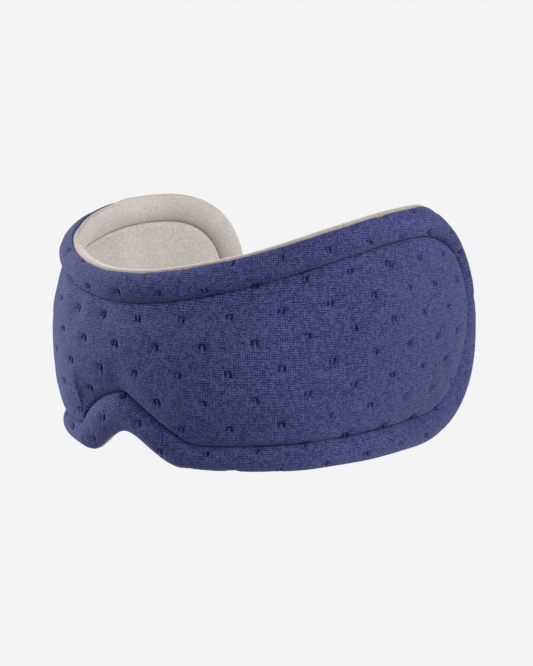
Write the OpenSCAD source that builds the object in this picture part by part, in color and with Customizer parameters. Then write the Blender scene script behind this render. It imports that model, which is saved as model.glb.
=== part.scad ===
// Padded wrap-around sleep eye mask.
//
// The mask is laid out flat first: s runs along the band from the nose, z is the height above
// the bottom edge. A plan curve of five arcs then bends the band round the head, and a depth,
// counted outwards from that curve, gives the layers: knit cover, foam, suede lining.
// A quilting seam divides the foam into a pad and a rolled rim. Vertical cuts at the temples
// divide the band into the centre and the two wings, which hinge outwards on the cover.
// +X is the wearer's left, -Y the way the wearer looks, and the bottom edge stands on z = 0.

/* [Plan curve] */
// Length of the arc over the nose, from the centre line
nose_len = 25; // [20:1:30]
// Turn of the nose arc in degrees
nose_turn = 16; // [12:1:20]
// Length of the brow arc
brow_len = 30; // [25:1:35]
// Turn of the brow arc in degrees
brow_turn = 20; // [15:1:25]
// Length of the temple arc
temple_len = 30; // [25:1:35]
// Turn of the temple arc in degrees
temple_turn = 32; // [28:1:36]
// Length of the side arc
side_len = 45; // [40:1:50]
// Turn of the side arc in degrees
side_turn = 22; // [18:1:26]
// Length of the tail arc
tail_len = 71; // [68:1:76]
// Turn of the tail arc in degrees
tail_turn = 16.5; // [14:0.5:18]

/* [Outline] */
// Height over the nose
nose_h = 74.5; // [70:0.5:78]
// Height at the sides
side_h = 97.5; // [90:0.5:100]
// Height of the notch for the nose
notch_h = 11.5; // [9:0.5:14]
// Half-width of the notch
notch_half_w = 28; // [24:1:32]
// Distance from the nose at which the rounded end starts
lobe_s = 141; // [136:1:146]
// Height of the rounded end's foremost point
tip_z = 38; // [35:1:45]
// Squareness of the rounded end, 2 for an ellipse
tip_squareness = 2.2; // [2:0.1:2.6]

/* [Quilting] */
// Width of the rolled rim along the top
rim_w = 12.5; // [10:0.5:14]
// Width of the rolled rim at the end
rim_tip_w = 19; // [15:1:22]
// Height of the seam's point over the nose
seam_nose_z = 27.5; // [25:0.5:30]
// Distance from the nose to the seam's lower corner
seam_corner_s = 31; // [28:1:34]
// Height of the seam at that corner
seam_corner_z = 9.6; // [9:0.2:12]
// Height of the lower seam where the rounded end starts
seam_side_z = 13; // [11:0.5:14]

/* [Layers] */
// Thickness of the knit cover and of the lining
skin_t = 1; // [0.8:0.1:1.2]
// Half the foam's thickness in the middle of the pad
pad_half = 4.4; // [3.5:0.1:5]
// Half the foam's thickness in the middle of the rim
rim_half = 4.2; // [3.5:0.1:4.5]
// Half the foam's thickness under the seam
seam_half = 1; // [0.8:0.1:1.5]
// How far the middle of the band bulges beyond its edges
bulge = 4; // [3:0.5:5]
// Thickness of the sewing thread
thread_d = 0.6; // [0.4:0.1:0.8]

/* [Strap] */
// Width of the elastic strap
strap_w = 18; // [15:1:20]
// Thickness of the strap
strap_t = 1.6; // [1.2:0.1:2]
// Length of the hook tab on the strap's end
tab_len = 24; // [20:1:28]
// Thickness of the hook tab
tab_t = 1.2; // [1:0.1:1.5]

/* [Joints] */
// Distance from the nose to the cut at the temple
hinge_s = 65; // [60:1:70]
// Gap between parts that move against each other
gap = 0.3; // [0.3:0.1:0.5]

/* [Hidden] */

arcs = [
    [nose_len, nose_turn], [brow_len, brow_turn], [temple_len, temple_turn],
    [side_len, side_turn], [tail_len, tail_turn]
];
tip_s = nose_len + brow_len + temple_len + side_len + tail_len;
seam_tip_s = tip_s - rim_tip_w;
seam_mid_z = (side_h - rim_w + seam_side_z) / 2;

// Distance from the seam's foremost point back to the end of the spine, the pad's middle line
spine_inset = 22;
spine_tip_s = seam_tip_s - spine_inset;

// Depth of the band's middle below the plan curve, so that the cover lies on that curve
core_depth = pad_half + skin_t;
// Thickness that the foam keeps at the very edge
edge_half = 0.2;
// Distance from the nose over which the bulge grows to its full size
bulge_s = 45;
// Place of the seam in the bulge, between the spine at 0 and the edge at 1
seam_w = 0.72;
// Share of the way from the seam to the spine over which the pad rises to its full thickness
pad_rise = 0.6;

// Faces of the layers, as multipliers of the foam's half thickness and of the skin's thickness
COVER_OUT = [1, 1];
FOAM_OUT = [1, 0];
FOAM_IN = [-1, 0];
LINING_OUT = [-1, -1];

// Rows across the band: 0 at the edge, 1 at the seam, 2 at the spine
rim_steps = 6;
rim_end_angle = 180 - asin(seam_half / rim_half);
rim_rows = [for (i = [0 : rim_steps])
    (1 - cos(rim_end_angle * i / rim_steps)) / (1 - cos(rim_end_angle))];
pad_rows = [1.1, 1.3, 1 + pad_rise, 2];
half_rows = concat(rim_rows, pad_rows);

// Columns along the band: s up to lobe_s, and beyond it the angle round the rounded end
centre_end = hinge_s - gap / 2;
wing_start = hinge_s + gap / 2;
nose_steps = 4;
brow_steps = 3;
wing_steps = 6;
round_steps = 8;
centre_half = concat(
    [for (i = [1 : nose_steps]) seam_corner_s * i / nose_steps],
    [for (i = [1 : brow_steps]) mix(seam_corner_s, centre_end, i / brow_steps)]
);
centre_columns = concat([for (i = [len(centre_half) - 1 : -1 : 0]) -centre_half[i]], [0], centre_half);
wing_columns = concat(
    [for (i = [0 : wing_steps - 1]) mix(wing_start, lobe_s, i / wing_steps)],
    [for (i = [0 : round_steps]) lobe_s + 90 * i / round_steps]
);

indigo = [0.25, 0.26, 0.52];
beige = [0.78, 0.73, 0.69];
foam_white = [0.93, 0.92, 0.88];
thread_navy = [0.13, 0.14, 0.32];
hook_grey = [0.3, 0.31, 0.4];

function mix(a, b, t) = a + (b - a) * t;
function ease(t) = let (u = max(0, min(1, t))) u * u * (3 - 2 * u);
function turned(v, a) = [v[0] * cos(a) - v[1] * sin(a), v[0] * sin(a) + v[1] * cos(a)];

// Plan curve: [x, y, heading] at distance s along the arcs, for s from 0 to tip_s
function walk(p, arc, d) =
    let (turn = arc[1] * d / arc[0],
         radius = arc[0] / (PI * arc[1] / 180),
         chord = 2 * radius * sin(turn / 2),
         h = p[2] + turn / 2)
    [p[0] + chord * cos(h), p[1] + chord * sin(h), p[2] + turn];
function pose_at(s, k = 0, p = [0, 0, 0]) =
    k == len(arcs) - 1 || s <= arcs[k][0]
        ? walk(p, arcs[k], s)
        : pose_at(s - arcs[k][0], k + 1, walk(p, arcs[k], arcs[k][0]));

// Point of the curved band from its flat place and its depth; negative s is the wearer's right
function bend(s, z, depth) =
    let (p = pose_at(abs(s)))
    [(s < 0 ? -1 : 1) * (p[0] + depth * sin(p[2])), p[1] - depth * cos(p[2]), z];

// Outline of the band, where side is 1 for the top edge and -1 for the bottom edge
function edge_z(s, side) =
    side > 0 ? mix(nose_h, side_h, ease(s / lobe_s)) : notch_h * (1 - ease(s / notch_half_w));
function seam_z(s, side) =
    side > 0 ? edge_z(s, 1) - rim_w
    : s < seam_corner_s ? mix(seam_nose_z, seam_corner_z, s / seam_corner_s)
    : mix(seam_corner_z, seam_side_z, (s - seam_corner_s) / (lobe_s - seam_corner_s));

// Flat places [s, z] of the edge, the seam and the spine in one column
function edge_at(c, side) =
    c <= lobe_s ? [c, edge_z(c, side)] :
    let (a = c - lobe_s, power = 2 / tip_squareness, end_z = side > 0 ? side_h : 0)
    [mix(lobe_s, tip_s, pow(sin(a), power)), mix(tip_z, end_z, pow(cos(a), power))];
function seam_at(c, side) =
    c <= lobe_s ? [c, seam_z(c, side)] :
    let (a = c - lobe_s, start_z = side > 0 ? side_h - rim_w : seam_side_z)
    [mix(lobe_s, seam_tip_s, sin(a)), mix(seam_mid_z, start_z, cos(a))];
function spine_at(c) =
    c <= lobe_s ? [c, (seam_z(c, 1) + seam_z(c, -1)) / 2]
    : [mix(lobe_s, spine_tip_s, sin(c - lobe_s)), seam_mid_z];
function flat_at(c, side, row) =
    row <= 1 ? mix(edge_at(c, side), seam_at(c, side), row)
    : mix(seam_at(c, side), spine_at(c), row - 1);

// Half thickness of the foam in a row: a round roll in the rim, a crowned pad inside the seam
function foam_half(row) =
    row <= 1 ? max(edge_half, rim_half * sin(acos(1 - row * (1 - cos(rim_end_angle)))))
    : mix(seam_half, pad_half, sin(90 * min(1, (row - 1) / pad_rise)));

// Barrel shape across the band: w is 0 at the spine and 1 at the edge
function barrel(s, row) =
    let (w = row <= 1 ? mix(1, seam_w, row) : seam_w * (2 - row))
    bulge * ease(s / bulge_s) * (0.5 - w * w);

// Point on one face of the layers, raised above it by the height lift
function on_face(c, side, row, face, lift = 0) =
    let (place = flat_at(abs(c), side, row),
         depth = barrel(place[0], row) - core_depth
                 + face[0] * (foam_half(row) + lift) + face[1] * skin_t)
    bend((c < 0 ? -1 : 1) * place[0], place[1], depth);

// Grids of such points: across the whole band from top to bottom, or along the rim only
function across(rows, columns, face) = concat(
    [for (row = rows) [for (c = columns) on_face(c, 1, row, face)]],
    [for (i = [len(rows) - 2 : -1 : 0]) [for (c = columns) on_face(c, -1, rows[i], face)]]
);
function there_and_back(columns) = concat(
    [for (c = columns) [c, 1]],
    [for (i = [len(columns) - 2 : -1 : 0]) [columns[i], -1]]
);
function along(route, rows, face) =
    [for (row = rows) [for (p = route) on_face(p[0], p[1], row, face)]];

// Closed solid between two grids of points, [row][column]. A zipped grid ends round the tip,
// where the upper and the lower half of its last column are the same points.
module layer(outer, inner, zipped = false) {
    rows = len(outer);
    columns = len(outer[0]);
    count = rows * columns;
    last_end = zipped ? 0 : 1;
    function id(r, c) = (zipped && c == columns - 1 ? min(r, rows - 1 - r) : r) * columns + c;
    faces = concat(
        [for (r = [0 : rows - 2], c = [0 : columns - 2], t = [0, 1])
            t == 0 ? [id(r, c), id(r, c + 1), id(r + 1, c + 1)]
            : [id(r, c), id(r + 1, c + 1), id(r + 1, c)]],
        [for (r = [0 : rows - 2], c = [0 : columns - 2], t = [0, 1])
            t == 0 ? [count + id(r, c), count + id(r + 1, c + 1), count + id(r, c + 1)]
            : [count + id(r, c), count + id(r + 1, c), count + id(r + 1, c + 1)]],
        [for (c = [0 : columns - 2], t = [0, 1])
            t == 0 ? [id(0, c), count + id(0, c + 1), id(0, c + 1)]
            : [id(0, c), count + id(0, c), count + id(0, c + 1)]],
        [for (c = [0 : columns - 2], t = [0, 1])
            t == 0 ? [id(rows - 1, c), id(rows - 1, c + 1), count + id(rows - 1, c + 1)]
            : [id(rows - 1, c), count + id(rows - 1, c + 1), count + id(rows - 1, c)]],
        [for (end = [0 : last_end], r = [0 : rows - 2], t = [0, 1])
            let (c = end * (columns - 1),
                 a = id(r, c), b = id(r + 1, c), p = count + a, q = count + b)
            end == 0 ? (t == 0 ? [a, b, q] : [a, q, p]) : (t == 0 ? [a, q, b] : [a, p, q])]
    );
    polyhedron([for (grid = [outer, inner], row = grid, p = row) p], faces);
}

// Sewing thread that lies on a face, along a route of [column, side]
module thread(route, row, face) {
    sides = 6;
    lift = thread_d;
    ahead = 0.1;
    centres = [for (p = route) on_face(p[0], p[1], row, face, lift)];
    across_hints = [for (p = route) on_face(p[0], p[1], row + ahead, face, lift)];
    rings = [for (i = [0 : len(route) - 1])
        let (before = centres[max(0, i - 1)],
             after = centres[min(len(route) - 1, i + 1)],
             along = (after - before) / norm(after - before),
             hint = across_hints[i] - centres[i],
             level = hint - along * (hint * along),
             u = level / norm(level),
             v = cross(along, u))
        [for (k = [0 : sides - 1])
            centres[i] + thread_d / 2 * (u * cos(360 * k / sides) + v * sin(360 * k / sides))]];
    last = (len(route) - 1) * sides;
    polyhedron(
        [for (ring = rings, p = ring) p],
        concat(
            [[for (k = [0 : sides - 1]) k]],
            [[for (k = [sides - 1 : -1 : 0]) last + k]],
            [for (i = [0 : len(route) - 2], k = [0 : sides - 1], t = [0, 1])
                let (a = i * sides + k, b = i * sides + (k + 1) % sides)
                t == 0 ? [a, a + sides, b] : [b, a + sides, b + sides]]
        )
    );
}

// Strap route in plan: out of the left end's edge, round a tight bend, across the back, and
// forwards along the lining of the right end
function rounded_corner(a, corner, b, cut, steps = 5) =
    let (p = corner + (a - corner) / norm(a - corner) * cut,
         q = corner + (b - corner) / norm(b - corner) * cut)
    [for (i = [0 : steps]) let (t = i / steps) mix(mix(p, corner, t), mix(corner, q, t), t)];
function plan(p) = [p[0], p[1]];

// Height of the strap's middle
strap_z = tip_z + 1;
// Direction in which the strap leaves the left end, and how far it reaches before it turns
strap_out = [0, 1];
strap_reach = 7.5;
// Stretch of the right end that the strap lies along
grip_start_s = tip_s - 2;
grip_end_s = tip_s - 36;
// How far before its corners the strap starts to bend
root_bend = 5;
grip_bend = 7;
// Depth of the strap beside the right end's rim, with the hook tab between them, and how much
// nearer to the lining the strap's end leans
grip_depth = barrel(tip_s, 0.5) - core_depth - rim_half - skin_t - tab_t - strap_t / 2;
grip_lean = 0.4;
tab_w = strap_w - 2;
stitch_margin = 2;

strap_root = plan(bend(tip_s, 0, barrel(tip_s, 0) - core_depth)) + strap_out * (gap + strap_t / 2);
strap_back = strap_root + strap_out * strap_reach;
strap_dip = plan(bend(-grip_start_s, 0, grip_depth));
strap_end = plan(bend(-grip_end_s, 0, grip_depth + grip_lean));
strap_route = concat(
    [strap_root],
    rounded_corner(strap_root, strap_back, strap_dip, root_bend),
    rounded_corner(strap_back, strap_dip, strap_end, grip_bend),
    [strap_end]
);
tab_direction = (strap_end - strap_dip) / norm(strap_end - strap_dip);
tab_heading = atan2(tab_direction[1], tab_direction[0]);

// Outline of a flat band of constant thickness along a route, with a round start
function band(route, t) =
    let (n = len(route) - 1,
         sides = [for (i = [0 : n])
             let (d = route[min(n, i + 1)] - route[max(0, i - 1)])
             turned(d / norm(d), 90) * t / 2])
    concat([for (i = [0 : n]) route[i] + sides[i]], [for (i = [n : -1 : 0]) route[i] - sides[i]],
           [for (a = [162 : -18 : 18]) route[0] + turned(sides[0], a)]);

// The whole mask moves back, so that its origin is below the middle of its box
front_y = bend(0, 0, barrel(0, 2) - core_depth + pad_half + skin_t)[1];
back_y = max([for (p = band(strap_route, strap_t)) p[1]]);
module in_frame() translate([0, -(front_y + back_y) / 2, 0]) children();

module wing_cover() color(indigo)
    layer(across(half_rows, wing_columns, COVER_OUT), across(half_rows, wing_columns, FOAM_OUT),
          zipped = true);
module wing_lining() color(beige)
    layer(across(half_rows, wing_columns, FOAM_IN), across(half_rows, wing_columns, LINING_OUT),
          zipped = true);
module wing_pad() color(foam_white)
    let (rows = concat([1], pad_rows))
    layer(across(rows, wing_columns, FOAM_OUT), across(rows, wing_columns, FOAM_IN),
          zipped = true);
module wing_rim() color(foam_white)
    let (route = there_and_back(wing_columns))
    layer(along(route, rim_rows, FOAM_OUT), along(route, rim_rows, FOAM_IN));
module wing_quilting() color(thread_navy)
    for (face = [COVER_OUT, LINING_OUT]) thread(there_and_back(wing_columns), 1, face);
module wing_edge_stitching() color(thread_navy)
    thread(there_and_back(wing_columns), rim_rows[1], LINING_OUT);

module centre_cover() in_frame() color(indigo)
    layer(across(half_rows, centre_columns, COVER_OUT),
          across(half_rows, centre_columns, FOAM_OUT));
module centre_lining() in_frame() color(beige)
    layer(across(half_rows, centre_columns, FOAM_IN),
          across(half_rows, centre_columns, LINING_OUT));
module centre_pad() in_frame() color(foam_white)
    let (rows = concat([1], pad_rows))
    layer(across(rows, centre_columns, FOAM_OUT), across(rows, centre_columns, FOAM_IN));
module centre_rim() in_frame() color(foam_white)
    for (side = [1, -1])
        let (route = [for (c = centre_columns) [side * c, side]])
        layer(along(route, rim_rows, FOAM_OUT), along(route, rim_rows, FOAM_IN));
module centre_quilting() in_frame() color(thread_navy)
    for (side = [1, -1], face = [COVER_OUT, LINING_OUT])
        thread([for (c = centre_columns) [c, side]], 1, face);
module centre_edge_stitching() in_frame() color(thread_navy)
    for (side = [1, -1])
        thread([for (c = centre_columns) [c, side]], rim_rows[1], LINING_OUT);

module left_cover() in_frame() wing_cover();
module left_lining() in_frame() wing_lining();
module left_pad() in_frame() wing_pad();
module left_rim() in_frame() wing_rim();
module left_quilting() in_frame() wing_quilting();
module left_edge_stitching() in_frame() wing_edge_stitching();

module right_cover() in_frame() mirror([1, 0, 0]) wing_cover();
module right_lining() in_frame() mirror([1, 0, 0]) wing_lining();
module right_pad() in_frame() mirror([1, 0, 0]) wing_pad();
module right_rim() in_frame() mirror([1, 0, 0]) wing_rim();
module right_quilting() in_frame() mirror([1, 0, 0]) wing_quilting();
module right_edge_stitching() in_frame() mirror([1, 0, 0]) wing_edge_stitching();

module strap() in_frame() color(indigo)
    translate([0, 0, strap_z - strap_w / 2])
    linear_extrude(strap_w) polygon(band(strap_route, strap_t));

// Places a flat piece at the strap's end: x back along the strap, y towards the lining
module at_tab() in_frame()
    translate([strap_end[0], strap_end[1], strap_z]) rotate(tab_heading + 180) children();

module hook_tab() at_tab() color(hook_grey)
    translate([0, strap_t / 2, -tab_w / 2]) cube([tab_len, tab_t, tab_w]);

// A rectangle of thread that stands half its thickness above the strap
module tab_stitching() at_tab() color(thread_navy)
    let (length = tab_len - 2 * stitch_margin, width = tab_w - 2 * stitch_margin,
         height = thread_d / 2)
    translate([stitch_margin, -strap_t / 2 - height, -width / 2]) difference() {
        cube([length, height, width]);
        translate([thread_d, -height, thread_d])
            cube([length - 2 * thread_d, 3 * height, width - 2 * thread_d]);
    }

centre_cover();
centre_lining();
centre_pad();
centre_rim();
centre_quilting();
centre_edge_stitching();
left_cover();
left_lining();
left_pad();
left_rim();
left_quilting();
left_edge_stitching();
right_cover();
right_lining();
right_pad();
right_rim();
right_quilting();
right_edge_stitching();
strap();
hook_tab();
tab_stitching();
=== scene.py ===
"""Sleep eye mask: knit cover, suede lining, foam, sewing threads and elastic strap, round the CAD frame.

The band is laid out flat first, in millimetres: s runs along it from the nose, z is the height above the
bottom edge. The CAD model's arcs and outline then bend it round the head. Each skin is one grid over the
whole band, and it is parted over the nose at the end, because a piece can bend across one temple only.
A grid's rows run from the top edge over the quilting seam, the spine and the seam to the bottom edge.
Its columns are signed, the wearer's left positive, and past LOBE_S they count degrees round the end.
"""

import bpy
import numpy as np
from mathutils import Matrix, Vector


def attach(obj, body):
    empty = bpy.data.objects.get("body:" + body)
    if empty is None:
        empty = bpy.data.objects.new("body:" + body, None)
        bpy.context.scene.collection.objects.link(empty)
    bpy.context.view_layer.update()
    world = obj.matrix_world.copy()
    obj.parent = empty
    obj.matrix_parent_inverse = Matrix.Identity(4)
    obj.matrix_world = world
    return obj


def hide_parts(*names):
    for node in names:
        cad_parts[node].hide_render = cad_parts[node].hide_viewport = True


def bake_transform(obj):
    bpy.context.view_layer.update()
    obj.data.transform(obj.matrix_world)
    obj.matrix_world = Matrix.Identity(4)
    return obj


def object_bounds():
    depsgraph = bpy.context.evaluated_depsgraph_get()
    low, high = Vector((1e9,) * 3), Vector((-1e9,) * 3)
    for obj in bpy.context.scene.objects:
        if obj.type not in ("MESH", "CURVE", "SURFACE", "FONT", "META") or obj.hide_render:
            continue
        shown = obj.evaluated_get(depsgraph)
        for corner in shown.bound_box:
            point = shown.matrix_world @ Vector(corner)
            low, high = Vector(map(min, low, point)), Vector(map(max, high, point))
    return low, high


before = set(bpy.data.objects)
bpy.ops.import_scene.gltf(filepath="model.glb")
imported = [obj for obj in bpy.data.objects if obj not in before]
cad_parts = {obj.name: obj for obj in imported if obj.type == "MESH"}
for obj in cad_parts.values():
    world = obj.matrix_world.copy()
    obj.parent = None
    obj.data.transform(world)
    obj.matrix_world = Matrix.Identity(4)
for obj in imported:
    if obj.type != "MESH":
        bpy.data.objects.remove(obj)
cad_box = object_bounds()

MM = 0.001
CLOTH_MM = 100  # millimetres in one unit of the cloth's UV map

# ---- The band, as in the CAD model (millimetres and degrees) ----
ARCS = ((25, 16), (30, 20), (30, 32), (45, 22), (71, 16.5))  # length and turn of each, from the nose back
NOSE_H = 74.5
SIDE_H = 97.5
NOTCH_H = 11.5
NOTCH_HALF_W = 28
LOBE_S = 141
TIP_S = sum(length for length, turn in ARCS)
TIP_Z = 38
SQUARENESS = 2.2  # of the rounded ends' lower half
TOP_SQUARENESS = {1: 1.72, -1: 2.8}  # of their upper half, left (1) and right (-1), as the soft ends lie
SEAM_SQUARENESS = {1: 2.1, -1: 2.6}  # of the upper seam there
LOW_SEAM_SQUARENESS = 2
END_PULLED_IN = {1: 0, -1: 5}  # how much of each end its seam gathers up
RIM_W = 12.5
SEAM_TIP_S = TIP_S - 19
SPINE_TIP_S = SEAM_TIP_S - 22
SEAM_NOSE_Z = 27.5
SEAM_CORNER_S = 31
SEAM_CORNER_Z = 9.6
SEAM_SIDE_Z = 13
SEAM_MID_Z = (SIDE_H - RIM_W + SEAM_SIDE_Z) / 2
CORE_DEPTH = 5.4  # from the cover's outside to the middle of the foam
GRIP_FOAM_HALF = 4.2  # half the foam's thickness where the hook tab grips
BULGE = 4  # how far the spine stands out past the edges
BULGE_S = 45  # distance from the nose over which the bulge grows
STRAP_W = 18
STRAP_T = 1.6
STRAP_REACH = 7.5
STRAP_GAP = 0.3  # between the strap and the left end's edge
STRAP_DIP_IN = 2  # how far from the right tip the strap bends on to the lining
STRAP_END_IN = 36  # how far from it the strap ends
STRAP_END_RISE = 0.4  # how much closer to the lining it ends
STRAP_SEWN_IN = 4  # length of the strap inside the left end's seam
TAB_LEN = 24
TAB_T = 1.2
TAB_HALF_W = STRAP_W / 2 - 1

# ---- Skins ----
SKIN_T = 1.6
SEAM_SKIN_T = 0.8  # what the quilting seam presses a skin down to
FOAM_PLAY = 0.15  # what the foam keeps clear of the skins
ROLL_HALF = 5.2  # half the rim's thickness, skins included
PAD_HALF = 5.4  # half the pad's thickness, skins included
CREASE_HALF = 1.2  # what is left of it at the bottom of the quilting seam
SHOULDER = 2.3  # height of the pad's steep shoulder beside the seam
SHOULDER_W = 1.0
SEAM_PRESS_W = 3  # distance from the seam at which a skin has its full thickness again
PAD_RISE = 0.6  # share of the way to the spine over which the pad rises
SEAM_BAND_W = 0.72  # where the seam lies between the spine (0) and the edge (1) of the barrel shape
ROLL_END = 180 - np.degrees(np.arcsin(CREASE_HALF / ROLL_HALF))
WRAP_COLUMNS = (-115, -74, -40)  # columns between which the lining's top edge changes height
WRAP_TOP = (7, -8, 24)  # degrees past the roll's crest to which the lining comes over the top edge there
WRAP_BOTTOM = -4  # the same along the bottom edge
WRAP_END = (-15, 45)  # degrees past LOBE_S over which the top's angle becomes the bottom's
EDGE_TUCK = 0.6  # how deep a skin's hem dips at its edge
EDGE_TUCK_W = 0.5
TURNED_W = 2.2  # width of the painted shade that darkens the lining's turned edge
ARCH_S = 27  # where the hand-fed seam's round arch on the wearer's right of the nose comes down
ARCH_SHARE = 0.7  # how much the seam there follows the arch, and not the straight slope

# ---- Stitches and the hook tape ----
STITCH_RINGS = 7
STITCH_SIDES = 6
TAB_SEAM_INSET = 2
PLATE_T = 0.45
HOOK_FIELD_HALF_W = 6.6
HOOK_SIDES = 5
HOOK_STEP_X = 1.15
HOOK_STEP_Z = 1.1
HOOK_STAGGER = 0.27
HOOK_MARGIN = 1.6

# ---- Cloth simulation ----
PUFF_START = 1.0  # how far inside its drawn shape the cloth starts
PUFF_PRESSURE = 8
PUFF_EASE = 0.02  # how much larger the cloth is cut than the shape that it fills
PUFF_SMOOTHING = 3  # passes that take out the folds that are too sharp for cloth over foam
PUFF_FRAMES = 20
PUFF_CAP = 2.5  # the furthest that a point may move from its drawn place
PUFF_FADE = 6  # distance from the seam over which it comes to start that far inside
STRAP_PRESS_S = 140  # column of the right half from which the strap presses on the cloth
STRAP_PRESS_W = 20  # columns over which it comes to press it flat

# ---- Shade that the cloth holds ----
SEAM_DARK_W = 0.5  # half the width of the shade in the bottom of the quilting seam
HEM_DARK = 0.9
TURNED_PAINTED_SHADE = 0.55

# ---- Tuck holes in the knit ----
HOLE_S = 1.0  # place of the first
HOLE_Z = 36.0
HOLE_PITCH = 19.2
HOLE_ROW = 10.5  # distance between their rows, which are half a pitch apart
HOLE_MIDDLE = -0.95  # of the strokes, from the hole's place
HOLE_HALF = 1.95  # half the width of the strokes
GRAIN_RISE = 9.6  # how far the knit's courses climb from the nose to the sides


def mix(a, b, t):
    return a + (b - a) * t


def unit(v):
    return v / np.linalg.norm(v, axis=-1, keepdims=True)


def ease(t):
    u = np.clip(t, 0, 1)
    return u * u * (3 - 2 * u)


def pose_at(s):
    """Plan curve: x, y and heading in radians at distance s from the nose."""
    x, y, heading = np.zeros_like(s), np.zeros_like(s), np.zeros_like(s)
    left = s
    for k, (length, turn) in enumerate(ARCS):
        d = np.clip(left, 0, np.inf if k == len(ARCS) - 1 else length)
        radius = length / np.radians(turn)
        chord = 2 * radius * np.sin(d / radius / 2)
        x = x + chord * np.cos(heading + d / radius / 2)
        y = y + chord * np.sin(heading + d / radius / 2)
        heading = heading + d / radius
        left = left - length
    return x, y, heading


def bend(s, z, depth):
    """Curved place of a flat one: depth counts outwards, and a negative s is the wearer's right."""
    x, y, heading = pose_at(np.abs(s))
    side = np.where(s < 0, -1, 1)
    bent = side * (x + depth * np.sin(heading)), y - depth * np.cos(heading)
    return np.stack(np.broadcast_arrays(*bent, z), -1)


def edge_z(s, side):
    if side > 0:
        return mix(NOSE_H, SIDE_H, ease(s / LOBE_S))
    return NOTCH_H * (1 - ease(s / NOTCH_HALF_W))


def seam_z(s, side, left=1):
    """Height of the seam above or below the spine, on the wearer's left (1) or right (-1)."""
    if side > 0:
        return edge_z(s, 1) - RIM_W
    slope = mix(SEAM_NOSE_Z, SEAM_CORNER_Z, (np.hypot(s, 2) - 1) / SEAM_CORNER_S)
    arch = mix(SEAM_CORNER_Z, SEAM_NOSE_Z, np.sqrt(np.clip(1 - (s / ARCH_S) ** 2, 0.0004, 1)))
    nose = np.where(left > 0, slope, mix(slope, arch, ARCH_SHARE))
    flank = mix(SEAM_CORNER_Z, SEAM_SIDE_Z, (s - SEAM_CORNER_S) / (LOBE_S - SEAM_CORNER_S))
    return (nose + flank + np.hypot(nose - flank, 1.5)) / 2


def outline(column, side):
    """Flat places [s, z] of the edge, the seam and the spine, above (side 1) or below the spine (-1)."""
    c = np.abs(column)
    s = np.minimum(c, LOBE_S)
    a = np.radians(np.maximum(c - LOBE_S, 0))
    sin, cos = np.sin(a), np.maximum(np.cos(a), 0)
    left = np.sign(column)
    top, top_seam, pulled_in = (np.where(left > 0, pair[1], pair[-1])
                                for pair in (TOP_SQUARENESS, SEAM_SQUARENESS, END_PULLED_IN))
    power = 2 / (top if side > 0 else SQUARENESS)
    seam_power = 2 / (top_seam if side > 0 else LOW_SEAM_SQUARENESS)
    edge = s + (TIP_S - pulled_in - LOBE_S) * sin ** power, mix(TIP_Z, edge_z(s, side), cos ** power)
    seam = (s + (SEAM_TIP_S - LOBE_S) * sin ** seam_power,
            mix(SEAM_MID_Z, seam_z(s, side, left), cos ** seam_power))
    spine = s + (SPINE_TIP_S - LOBE_S) * sin, (seam_z(s, 1) + seam_z(s, -1, left)) / 2
    return (np.stack(p, -1) for p in (edge, seam, spine))


def barrel(s, w):
    """Bulge of the whole band, where w is 0 on the spine and 1 on the edge."""
    return BULGE * ease(s / BULGE_S) * (0.5 - w * w)


def wrap_angle(c, side):
    """Place on the roll, in degrees outwards from its crest, where the cover and the lining meet."""
    top = np.interp(c, WRAP_COLUMNS, WRAP_TOP)
    first, last = WRAP_END
    top = mix(top, WRAP_BOTTOM, ease((np.abs(c) - LOBE_S - first) / (last - first)))
    return top if side > 0 else np.full_like(c, WRAP_BOTTOM)


def half_skin(c, side, face, roll, pad):
    """Points and cloth places from the edge to the spine on the cover (face 1) or the lining (-1).

    roll and pad count its rows from 0 to 1: from the edge to the seam, and from the seam to the spine."""
    edge, seam, spine = outline(c, side)
    phi = np.radians(mix(wrap_angle(c, side), face * ROLL_END, roll[:, None]))
    row = (1 - np.cos(phi)) / (1 - np.cos(np.radians(ROLL_END)))
    places = mix(edge, seam, row[..., None])
    depth = barrel(places[..., 0], mix(1, SEAM_BAND_W, row)) + ROLL_HALF * np.sin(phi)

    t = pad[:, None]
    inner = mix(seam, spine, t[..., None])
    away = t * np.linalg.norm(spine - seam, axis=-1)
    shoulder = SHOULDER * (1 - np.exp(-away / SHOULDER_W))
    rise = (PAD_HALF - CREASE_HALF - SHOULDER) * np.sin(np.pi / 2 * np.minimum(1, t / PAD_RISE))
    pad_depth = barrel(inner[..., 0], SEAM_BAND_W * (1 - t)) + face * (CREASE_HALF + shoulder + rise)

    places = np.concatenate([places, inner])
    depth = np.concatenate([depth, pad_depth]) - CORE_DEPTH
    sign = np.where(c < 0, -1, 1)
    points = bend(sign * places[..., 0], places[..., 1], depth)

    steps = np.linalg.norm(np.diff(points[:len(roll) + 1], axis=0), axis=-1)
    unrolled = np.cumsum(steps[::-1], axis=0)[::-1]
    cloth = places.copy()
    cloth[:len(roll)] = seam + unit(edge - seam) * unrolled[..., None]
    cloth[..., 0] *= sign
    return points, cloth


def outward_normals(points, face):
    """Unit normals of a skin's grid. At both tips the spine turns back, so the one beside it serves."""
    normals = np.cross(np.gradient(points, axis=0), np.gradient(points, axis=1))
    spine = len(points) // 2
    normals[spine, 0], normals[spine, -1] = normals[spine, 1], normals[spine, -2]
    return unit(normals) * face


def skin(c, face, roll, pad, puff=None):
    """Points, normals and cloth places of the whole skin, from the top edge to the bottom edge."""
    top, top_cloth = half_skin(c, 1, face, roll, pad)
    low, low_cloth = half_skin(c, -1, face, roll, pad)
    points = np.concatenate([top, low[-2::-1]])
    cloth = np.concatenate([top_cloth, low_cloth[-2::-1]])
    if puff:
        points = points + puff_move(puff, c, face, roll, pad)
    return points, outward_normals(points, face), cloth


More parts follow.
